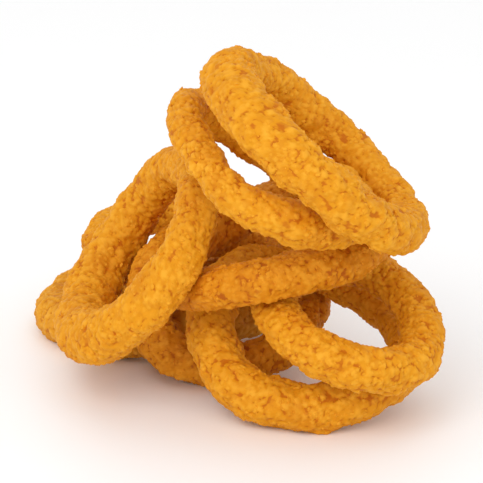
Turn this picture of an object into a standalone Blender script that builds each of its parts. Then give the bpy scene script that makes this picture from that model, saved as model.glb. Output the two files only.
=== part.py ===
# A side of onion rings: nine crumbed, fried rings in one loose stack, as they lie on a table.
# Metres, +Z up. The origin is on the table, under the middle of the stack.
# Every ring is a closed, slightly uneven tube, and each is an object of its own.

import math

import bpy
from mathutils import Vector, noise

MM = 0.001

COLLECTION_NAME = "onion_rings_side"

# Driving dimensions that every ring shares.
STEPS_ROUND_RING = 50       # mesh steps along the ring
STEPS_ROUND_TUBE = 11       # mesh steps round its tube
LUMP_SIZE = 11 * MM         # how far apart the thick places in the batter are
LUMP_HEIGHT = 0.45 * MM     # how far they rise above or sink below an even tube
SHADE_ANGLE = math.radians(60)

# One entry for each ring, from the top of the stack down, in millimetres and degrees.
#   at        the middle of the ring, from the origin
#   lean      how far the ring leans over from lying flat
#   downhill  the compass direction that its low side faces, anticlockwise from +X
#   across    the mean diameter of the tube's centreline
#   tube      the mean thickness of the tube
#   oval      how much longer than round it is, and the direction of its long axis from downhill
#   twist     how far its rim rises and falls out of flat, and the direction of a high place
#   fat_side  how much thicker the tube is on one side, and which side, from downhill
#   tone      the crust's colour
RINGS = {
    "ring_top": {
        "at": (25.3, -39.6, 80.3), "lean": 40, "downhill": -1,
        "across": 64.5, "tube": 13.5, "oval": (0.02, -30),
        "twist": (0.2, -85), "fat_side": (0.11, -145), "tone": "golden",
    },
    "ring_under_top": {
        "at": (10.3, -33.5, 73.2), "lean": 27, "downhill": -2,
        "across": 57, "tube": 11.9, "oval": (0.14, -60),
        "twist": (2.7, -10), "fat_side": (0.14, 10), "tone": "golden",
    },
    "ring_middle": {
        "at": (12.8, -19.9, 45.4), "lean": 14, "downhill": -163,
        "across": 59, "tube": 12.9, "oval": (0.03, -35),
        "twist": (2, 70), "fat_side": (0.04, -115), "tone": "amber",
    },
    "ring_leaning_left": {
        "at": (-26.1, -15, 41.8), "lean": 55, "downhill": -171,
        "across": 62.5, "tube": 14.3, "oval": (0.06, -80),
        "twist": (1.4, 15), "fat_side": (0.17, -15), "tone": "golden",
    },
    "ring_right": {
        "at": (34.9, -39.6, 30.6), "lean": 21, "downhill": -56,
        "across": 46, "tube": 12.5, "oval": (0.07, -15),
        "twist": (1, -50), "fat_side": (0.05, -25), "tone": "golden",
    },
    "ring_leaning_back": {
        "at": (-0.5, 1.8, 20.8), "lean": 38, "downhill": -75,
        "across": 48.5, "tube": 13.1, "oval": (0.05, -75),
        "twist": (3, 40), "fat_side": (0.07, -155), "tone": "amber",
    },
    "ring_base_front": {
        "at": (23.7, -25.9, 19.6), "lean": 27, "downhill": -73,
        "across": 57.5, "tube": 12.9, "oval": (0.04, 55),
        "twist": (3.4, 35), "fat_side": (0.15, -65), "tone": "golden",
    },
    "ring_back": {
        "at": (-15.5, 46.8, 23.5), "lean": 6, "downhill": -56,
        "across": 51.5, "tube": 12.2, "oval": (0.01, 30),
        "twist": (0.2, 40), "fat_side": (0.03, 90), "tone": "golden",
    },
    "ring_base_left": {
        "at": (-20.9, 34.4, 7.7), "lean": 4, "downhill": 134,
        "across": 65.3, "tube": 13.2, "oval": (0.07, 45),
        "twist": (1, 5), "fat_side": (0.02, 125), "tone": "pale",
    },
}

# Crust colours, from well fried to pale.
TONES = {
    "amber": (0.62, 0.27, 0.035),
    "golden": (0.70, 0.33, 0.045),
    "pale": (0.74, 0.37, 0.06),
}


def clear_scene():
    for old in list(bpy.data.objects):
        bpy.data.objects.remove(old, do_unlink=True)


def new_collection(name):
    collection = bpy.data.collections.new(name)
    bpy.context.scene.collection.children.link(collection)
    return collection


def crust_material(name, color):
    """A dry, fried crumb crust."""
    material = bpy.data.materials.new(name)
    material.use_nodes = True
    shader = material.node_tree.nodes["Principled BSDF"]
    shader.inputs["Base Color"].default_value = (*color, 1.0)
    shader.inputs["Roughness"].default_value = 0.62
    shader.inputs["Metallic"].default_value = 0.0
    return material


def wave(angle, direction, turns=2):
    """A smooth wave round the ring, highest in the given direction."""
    return math.cos(turns * (angle - math.radians(direction)))


def shape_ring(mesh, ring, seed):
    """Bend an even torus into one fried ring: oval, twisted and of uneven thickness."""
    radius = ring["across"] * MM / 2
    thickness = ring["tube"] * MM / 2
    oval, oval_direction = ring["oval"]
    twist, twist_direction = ring["twist"]
    fatter, fat_direction = ring["fat_side"]
    for vertex in mesh.vertices:
        x, y, z = vertex.co
        angle = math.atan2(y, x)
        outward = Vector((math.cos(angle), math.sin(angle), 0))
        on_tube = outward * (math.hypot(x, y) - radius) + Vector((0, 0, z))
        around = outward * radius * (1 + oval * wave(angle, oval_direction))
        around.z = twist * MM * wave(angle, twist_direction)
        fatness = 1 + fatter * wave(angle, fat_direction, turns=1)
        place = Vector((x, y, z)) / LUMP_SIZE + Vector((0, 0, 7.0 * seed))
        lump = LUMP_HEIGHT * noise.noise(place)
        vertex.co = around + on_tube.normalized() * (thickness * fatness + lump)


def flatten_on_table(obj):
    """Press whatever would sink into the table into a small flat spot."""
    to_world = obj.matrix_world.copy()
    to_local = to_world.inverted()
    for vertex in obj.data.vertices:
        place = to_world @ vertex.co
        if place.z < 0:
            place.z = 0
            vertex.co = to_local @ place


def add_ring(name, ring, seed, collection):
    bpy.ops.mesh.primitive_torus_add(
        major_radius=ring["across"] * MM / 2,
        minor_radius=ring["tube"] * MM / 2,
        major_segments=STEPS_ROUND_RING,
        minor_segments=STEPS_ROUND_TUBE,
    )
    obj = bpy.context.object
    for holder in list(obj.users_collection):
        holder.objects.unlink(obj)
    collection.objects.link(obj)
    obj.name = name
    obj.data.name = name
    shape_ring(obj.data, ring, seed)
    obj.location = Vector(ring["at"]) * MM
    obj.rotation_euler = (0, math.radians(ring["lean"]), math.radians(ring["downhill"]))
    bpy.context.view_layer.update()
    flatten_on_table(obj)
    obj.data.shade_smooth()
    obj.data.set_sharp_from_angle(angle=SHADE_ANGLE)
    obj.data.materials.append(crust_material(name + "_crust", TONES[ring["tone"]]))
    return obj


def build_stack():
    clear_scene()
    collection = new_collection(COLLECTION_NAME)
    for seed, (name, ring) in enumerate(RINGS.items()):
        add_ring(name, ring, seed, collection)


build_stack()
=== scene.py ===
import math
import random

import bmesh
import bpy
from mathutils import Euler, Matrix, Vector, kdtree, noise


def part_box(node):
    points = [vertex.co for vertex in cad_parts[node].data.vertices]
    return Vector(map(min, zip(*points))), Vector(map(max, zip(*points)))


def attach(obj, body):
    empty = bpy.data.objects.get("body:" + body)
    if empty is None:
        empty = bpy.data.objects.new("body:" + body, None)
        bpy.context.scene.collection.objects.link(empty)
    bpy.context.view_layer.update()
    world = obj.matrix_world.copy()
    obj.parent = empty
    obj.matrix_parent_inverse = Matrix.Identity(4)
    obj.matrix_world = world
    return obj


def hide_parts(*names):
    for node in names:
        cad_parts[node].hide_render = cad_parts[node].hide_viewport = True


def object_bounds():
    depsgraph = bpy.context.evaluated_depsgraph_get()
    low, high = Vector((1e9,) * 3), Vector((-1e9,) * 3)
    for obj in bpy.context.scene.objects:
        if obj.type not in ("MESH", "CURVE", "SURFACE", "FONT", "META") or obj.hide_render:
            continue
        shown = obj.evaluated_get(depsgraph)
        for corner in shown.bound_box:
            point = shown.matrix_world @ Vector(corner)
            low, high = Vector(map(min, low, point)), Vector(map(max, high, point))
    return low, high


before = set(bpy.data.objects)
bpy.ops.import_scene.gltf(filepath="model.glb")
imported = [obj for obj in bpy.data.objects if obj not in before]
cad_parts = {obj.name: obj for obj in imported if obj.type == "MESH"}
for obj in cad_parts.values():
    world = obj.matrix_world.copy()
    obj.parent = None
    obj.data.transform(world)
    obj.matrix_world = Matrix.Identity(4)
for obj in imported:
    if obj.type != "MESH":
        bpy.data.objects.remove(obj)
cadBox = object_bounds()
mm = 0.001


class Socket:
    # one output of a shader node, so that masks can be written as sums and products
    def __init__(self, paint, link):
        self.paint = paint
        self.link = link

    def math(self, operation, first, second=0.0):
        return self.paint.node("ShaderNodeMath", {"operation": operation}, {0: first, 1: second})

    def __add__(self, other):
        return self.math("ADD", self, other)

    def __radd__(self, other):
        return self.math("ADD", other, self)

    def __sub__(self, other):
        return self.math("SUBTRACT", self, other)

    def __rsub__(self, other):
        return self.math("SUBTRACT", other, self)

    def __mul__(self, other):
        return self.math("MULTIPLY", self, other)

    def __rmul__(self, other):
        return self.math("MULTIPLY", other, self)

    def __pow__(self, other):
        return self.math("POWER", self, other)


class Paint:
    # a material with its node tree, and the few ways nodes are added to it
    def __init__(self, name):
        self.material = bpy.data.materials.new(name)
        self.material.use_nodes = True
        self.tree = self.material.node_tree
        self.shader = self.tree.nodes["Principled BSDF"]

    def fill(self, socket, value):
        if isinstance(value, Socket):
            self.tree.links.new(value.link, socket)
        elif isinstance(value, tuple) and socket.type == "RGBA" and len(value) == 3:
            socket.default_value = (*value, 1.0)
        else:
            socket.default_value = value

    def node(self, kind, settings=None, values=None, output=0):
        made = self.tree.nodes.new(kind)
        for key, value in (settings or {}).items():
            if key == "stops":
                ramp = made.color_ramp.elements
                while len(ramp) < len(value):
                    ramp.new(0.5)
                for stop, (place, color) in zip(ramp, value):
                    stop.position = place
                    stop.color = (*color, 1.0)
            else:
                setattr(made, key, value)
        for key, value in (values or {}).items():
            self.fill(made.inputs[key], value)
        return Socket(self, made.outputs[output])

    def mix(self, mask, first, second, blend="MIX"):
        settings = {"data_type": "RGBA", "blend_type": blend, "clamp_factor": True}
        return self.node("ShaderNodeMix", settings, {0: mask, 6: first, 7: second}, output=2)

    def step(self, value, low, high):
        settings = {"interpolation_type": "SMOOTHSTEP"}
        return self.node("ShaderNodeMapRange", settings, {0: value, 1: low, 2: high, 3: 0.0, 4: 1.0})

    def surface(self, **values):
        for key, value in values.items():
            self.fill(self.shader.inputs[key.replace("_", " ")], value)


crust = {
    "meshLevels": 3,          # how often each face of the plain ring is divided
    "grainSpacing": 1.0 * mm,
    "grainSize": (0.65 * mm, 1.5 * mm),
    "grainHeight": (0.10 * mm, 0.80 * mm),
    "grainEdge": 0.45,        # how ragged the outline of a grain is
    "lumps": ((9.0 * mm, 0.95 * mm), (4.2 * mm, 0.80 * mm)),   # size and height
    "tableGap": 0.05 * mm,
}

crumbs = {
    "perSquareMm": 0.17,
    "size": (0.35 * mm, 1.2 * mm),
    "ridgeSize": (0.6 * mm, 1.5 * mm),
    "sink": 0.30,             # share of a crumb's size that is under the crust
    "clusterSize": 9.0 * mm,
}

# rings with a rough ridge of crumbs: the side of the tube it runs along, and which half of the ring
ridges = {
    "ring_top": {"side": (0.55, 0.55, 0.62), "half": (-0.3, -0.9, 0.0), "perSquareMm": 1.1},
    "ring_middle": {"side": (0.0, -0.35, 0.94), "half": (0.0, -1.0, 0.0), "perSquareMm": 0.35},
    "ring_leaning_left": {"side": (0.5, -0.6, -0.6), "half": (0.7, -0.6, 0.0), "perSquareMm": 0.4},
}

# per tone: the dark colour serves both fried patches and the painted shade in the valleys between grains; the
# pale colour serves both pale crumbs and the painted highlight on grain tops
tones = {
    "golden": {"darkFryAndShade": (0.50, 0.130, 0.002), "mid": (0.70, 0.276, 0.006), "paleCrumbAndHighlight": (0.84, 0.400, 0.030)},
    "amber": {"darkFryAndShade": (0.42, 0.095, 0.002), "mid": (0.64, 0.225, 0.004), "paleCrumbAndHighlight": (0.80, 0.350, 0.024)},
    "pale": {"darkFryAndShade": (0.50, 0.150, 0.005), "mid": (0.70, 0.290, 0.012), "paleCrumbAndHighlight": (0.84, 0.430, 0.050)},
}

ringTone = {
    "ring_top": "golden",
    "ring_under_top": "golden",
    "ring_middle": "amber",
    "ring_leaning_left": "golden",
    "ring_right": "golden",
    "ring_leaning_back": "amber",
    "ring_base_front": "golden",
    "ring_back": "golden",
    "ring_base_left": "pale",
}


def crustPaint(name, tone):
    paint = Paint(name)
    place = paint.node("ShaderNodeTexCoord", output=3)
    height = paint.node("ShaderNodeAttribute", {"attribute_name": "grainHeight"}, output=2)
    grainTone = paint.node("ShaderNodeAttribute", {"attribute_name": "grainTone"}, output=2)
    fryPatch = paint.node("ShaderNodeTexNoise", None, {"Vector": place, "Scale": 95.0, "Detail": 3.0})
    fineGrain = paint.node("ShaderNodeTexNoise", None, {"Vector": place, "Scale": 1300.0, "Detail": 4.0})
    fryMark = paint.node("ShaderNodeTexNoise", None, {"Vector": place, "Scale": 210.0, "Detail": 2.0})
    # painted shade: the low valleys between grains take the dark colour, where shade falls
    body = paint.mix(paint.step(height, -0.05, 0.30), tone["darkFryAndShade"], tone["mid"])
    # painted highlight: the tops of the tallest grains and of loose crumbs take the pale colour
    body = paint.mix(paint.step(height, 0.40, 1.0) * 0.55, body, tone["paleCrumbAndHighlight"])
    body = paint.mix(paint.step(fryPatch, 0.48, 0.75) * 0.35, body, tone["darkFryAndShade"])
    body = paint.mix(paint.step(grainTone, 0.6, 1.0) * 0.40, body, tone["paleCrumbAndHighlight"])
    body = paint.mix((1 - paint.step(grainTone, 0.0, 0.35)) * 0.25, body, tone["darkFryAndShade"])
    body = paint.mix(paint.step(fryMark, 0.66, 0.76) * 0.60, body, tone["darkFryAndShade"])
    dull = 0.52 + 0.22 * fineGrain
    bump = paint.node(
        "ShaderNodeBump", None, {"Strength": 0.55, "Distance": 0.25 * mm, "Height": fineGrain}
    )
    paint.surface(Base_Color=body, Roughness=dull, Normal=bump)
    paint.shader.inputs["Specular IOR Level"].default_value = 0.14
    return paint.material


def smoothRing(node):
    # the plain ring, welded and divided until a grain of crust covers several faces
    work = bmesh.new()
    work.from_mesh(node.data)
    bmesh.ops.remove_doubles(work, verts=work.verts, dist=0.005 * mm)
    bmesh.ops.join_triangles(
        work, faces=work.faces, angle_face_threshold=math.radians(60), angle_shape_threshold=math.radians(90)
    )
    mesh = bpy.data.meshes.new(node.name + "_crust")
    work.to_mesh(mesh)
    work.free()
    ring = bpy.data.objects.new(node.name + "_crust", mesh)
    bpy.context.scene.collection.objects.link(ring)
    divide = ring.modifiers.new("divide", "SUBSURF")
    divide.levels = divide.render_levels = crust["meshLevels"]
    shape = ring.evaluated_get(bpy.context.evaluated_depsgraph_get())
    ring.data = bpy.data.meshes.new_from_object(shape)
    ring.modifiers.clear()
    ring.data.materials.clear()
    return ring


def grainsOn(mesh, draw):
    # middle, size, height and tone of every grain of crumb, spread evenly over the ring
    grains = []
    area = sum(face.area for face in mesh.polygons)
    wanted = int(area / crust["grainSpacing"] ** 2)
    for face in draw.choices(mesh.polygons, weights=[f.area for f in mesh.polygons], k=wanted):
        jitter = Vector((draw.uniform(-1, 1), draw.uniform(-1, 1), draw.uniform(-1, 1))) * 0.2 * mm
        big = draw.random() ** 2.2
        size = crust["grainSize"][0] + big * (crust["grainSize"][1] - crust["grainSize"][0])
        low, high = crust["grainHeight"]
        grains.append((face.center + jitter, size, draw.uniform(low, high), draw.random()))
    return grains


def crumbCrust(ring, seed):
    # raise the grains and the slow lumps of the batter out of the smooth ring
    draw = random.Random(seed)
    mesh = ring.data
    grains = grainsOn(mesh, draw)
    tree = kdtree.KDTree(len(grains))
    for number, grain in enumerate(grains):
        tree.insert(grain[0], number)
    tree.balance()
    offset = Vector((13.1, 7.7, 3.9)) * (seed + 1)
    top = crust["grainHeight"][1]
    heights = []
    tonesOfGrain = []
    moved = []
    for vertex in mesh.vertices:
        place = vertex.co / (0.7 * mm) + offset
        ragged = 1 + crust["grainEdge"] * noise.noise(place)
        best, tone = 0.0, 0.5
        for _, number, distance in tree.find_n(vertex.co, 6):
            _, size, height, grainTone = grains[number]
            t = distance * ragged / size
            if t < 1:
                rise = height * (1 - t * t) ** 0.55
                if rise > best:
                    best, tone = rise, grainTone
        best += 0.10 * mm * noise.noise(vertex.co / (0.9 * mm) - offset)
        lump = sum(high * noise.noise(vertex.co / wide + offset) for wide, high in crust["lumps"])
        heights.append(max(0.0, best) / top)
        tonesOfGrain.append(tone)
        moved.append(vertex.co + vertex.normal * (best + lump))
    for vertex, place in zip(mesh.vertices, moved):
        place.z = max(place.z, crust["tableGap"])
        vertex.co = place
    # grainHeight drives the painted shade in the valleys and the painted highlight on the grain tops; grainTone
    # is a random tone per grain
    for name, values in (("grainHeight", heights), ("grainTone", tonesOfGrain)):
        mesh.attributes.new(name, "FLOAT", "POINT").data.foreach_set("value", values)
    mesh.shade_smooth()
    mesh.update()


def crumbShapes(draw, count=12):
    # a few different angular crumbs of about unit size
    shapes = []
    for _ in range(count):
        work = bmesh.new()
        bmesh.ops.create_icosphere(work, subdivisions=1, radius=1.0)
        flat = Vector((1.0, draw.uniform(0.6, 1.0), draw.uniform(0.45, 0.8)))
        for vertex in work.verts:
            push = draw.uniform(0.72, 1.15)
            vertex.co = Vector((vertex.co.x * flat.x, vertex.co.y * flat.y, vertex.co.z * flat.z)) * push
        shapes.append(([v.co.copy() for v in work.verts], [[v.index for v in f.verts] for f in work.faces]))
        work.free()
    return shapes


def onRidge(ridge, face, middle):
    # whether a face lies on a ring's rough ridge of crumbs
    facing = face.normal.dot(Vector(ridge["side"]).normalized())
    return facing > 0.9 and (face.center - middle).dot(Vector(ridge["half"])) > 0


def looseCrumbs(ring, name, seed, shapes):
    # single crumbs that stand out of the crust, joined into one mesh for the ring
    draw = random.Random(1000 + seed)
    source = ring.data
    low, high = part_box(name)
    ridge = ridges.get(name)
    weights, sizes = [], []
    for face in source.polygons:
        density = crumbs["perSquareMm"] * max(0.1, 1 + 1.6 * noise.noise(face.center / crumbs["clusterSize"]))
        rough = bool(ridge) and onRidge(ridge, face, (low + high) / 2)
        if rough:
            density += ridge["perSquareMm"]
        weights.append(density * face.area / mm ** 2)
        sizes.append(crumbs["ridgeSize"] if rough else crumbs["size"])
    points, faces, heights, tonesOfCrumb = [], [], [], []
    for number in draw.choices(range(len(weights)), weights=weights, k=int(sum(weights))):
        face = source.polygons[number]
        small, big = sizes[number]
        size = small + (big - small) * draw.random() ** 2
        verts, sides = shapes[draw.randrange(len(shapes))]
        middle = face.center - face.normal * size * crumbs["sink"]
        if middle.z < size * 1.2:
            continue
        turn = face.normal.to_track_quat("Z", "Y").to_matrix()
        turn = turn @ Euler((draw.uniform(-0.5, 0.5), draw.uniform(-0.5, 0.5), draw.uniform(0, 6.28))).to_matrix()
        start = len(points)
        tone = draw.random()
        for vert in verts:
            points.append(middle + turn @ (vert * size))
            # painted highlight: the upper part of each crumb gets a higher grainHeight, which the crust paint
            # turns paler
            heights.append(0.55 + 0.45 * max(0.0, vert.z))
            tonesOfCrumb.append(tone)
        faces.extend([[start + i for i in side] for side in sides])
    mesh = bpy.data.meshes.new(name + "_crumbs")
    mesh.from_pydata(points, [], faces)
    for name, values in (("grainHeight", heights), ("grainTone", tonesOfCrumb)):
        mesh.attributes.new(name, "FLOAT", "POINT").data.foreach_set("value", values)
    obj = bpy.data.objects.new(mesh.name, mesh)
    bpy.context.scene.collection.objects.link(obj)
    return obj


def makeRings():
    paints = {name: crustPaint("crust_" + name, tone) for name, tone in tones.items()}
    shapes = crumbShapes(random.Random(5))
    for seed, (name, tone) in enumerate(ringTone.items()):
        ring = smoothRing(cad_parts[name])
        crumbCrust(ring, seed)
        loose = looseCrumbs(ring, name, seed, shapes)
        for piece in (ring, loose):
            piece.data.materials.append(paints[tone])
            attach(piece, "root")
        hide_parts(name)
        print(name, len(ring.data.polygons), "crust faces,", len(loose.data.polygons), "crumb faces")


studio = {
    "tableColor": (0.96, 0.96, 0.96),
    "roomColor": (1.0, 1.0, 1.0),
    "roomStrength": 0.95,
    "keySize": 0.8,
    "keyPower": 4.5,
    "keyFrom": (-0.40, -0.85, 0.75),
    "fillSize": 0.9,
    "fillPower": 0.8,
    "fillFrom": (0.60, -0.90, 0.35),
}


def softLight(name, place, size, power, aim):
    data = bpy.data.lights.new(name, "AREA")
    data.shape = "DISK"
    data.size = size
    data.energy = power
    lamp = bpy.data.objects.new(name, data)
    lamp.location = aim + Vector(place)
    lamp.rotation_euler = (aim - lamp.location).to_track_quat("-Z", "Y").to_euler()
    bpy.context.scene.collection.objects.link(lamp)


def makeStudio():
    low, high = cadBox
    middle = (low + high) / 2
    table = Paint("pale_table")
    grain = table.node("ShaderNodeTexNoise", None, {"Scale": 40.0, "Detail": 2.0})
    table.surface(Base_Color=studio["tableColor"], Roughness=0.55 + 0.1 * grain)
    bpy.ops.mesh.primitive_plane_add(size=12.0, location=(middle.x, middle.y, low.z))
    floor = bpy.context.object
    floor.name = "table"
    floor.data.materials.append(table.material)
    world = bpy.data.worlds.new("room")
    world.use_nodes = True
    sky = world.node_tree.nodes["Background"]
    sky.inputs["Color"].default_value = (*studio["roomColor"], 1.0)
    sky.inputs["Strength"].default_value = studio["roomStrength"]
    bpy.context.scene.world = world
    softLight("key", studio["keyFrom"], studio["keySize"], studio["keyPower"], middle)
    softLight("fill", studio["fillFrom"], studio["fillSize"], studio["fillPower"], middle)
    bpy.context.scene.view_settings.view_transform = "Standard"
    print("table, room light and two soft lights")


camera = {
    "lens": 180.0,            # on a 36 mm sensor
    "distance": 700 * mm,
    "elevation": 18.5,
    "aim": (3.7 * mm, -31.0 * mm, 50.6 * mm),  # from the middle of the stack's foot
}


def makeCamera():
    low, high = cadBox
    foot = Vector(((low.x + high.x) / 2, (low.y + high.y) / 2, low.z))
    aim = foot + Vector(camera["aim"])
    lift = math.radians(camera["elevation"])
    data = bpy.data.cameras.new("camera")
    data.lens = camera["lens"]
    data.sensor_width = 36.0
    data.clip_end = 50.0
    eye = bpy.data.objects.new("camera", data)
    eye.location = aim + camera["distance"] * Vector((0, -math.cos(lift), math.sin(lift)))
    eye.rotation_euler = (aim - eye.location).to_track_quat("-Z", "Y").to_euler()
    bpy.context.scene.collection.objects.link(eye)
    bpy.context.scene.camera = eye
    print("camera", round(camera["distance"] / mm), "mm away")


makeRings()
makeStudio()
makeCamera()
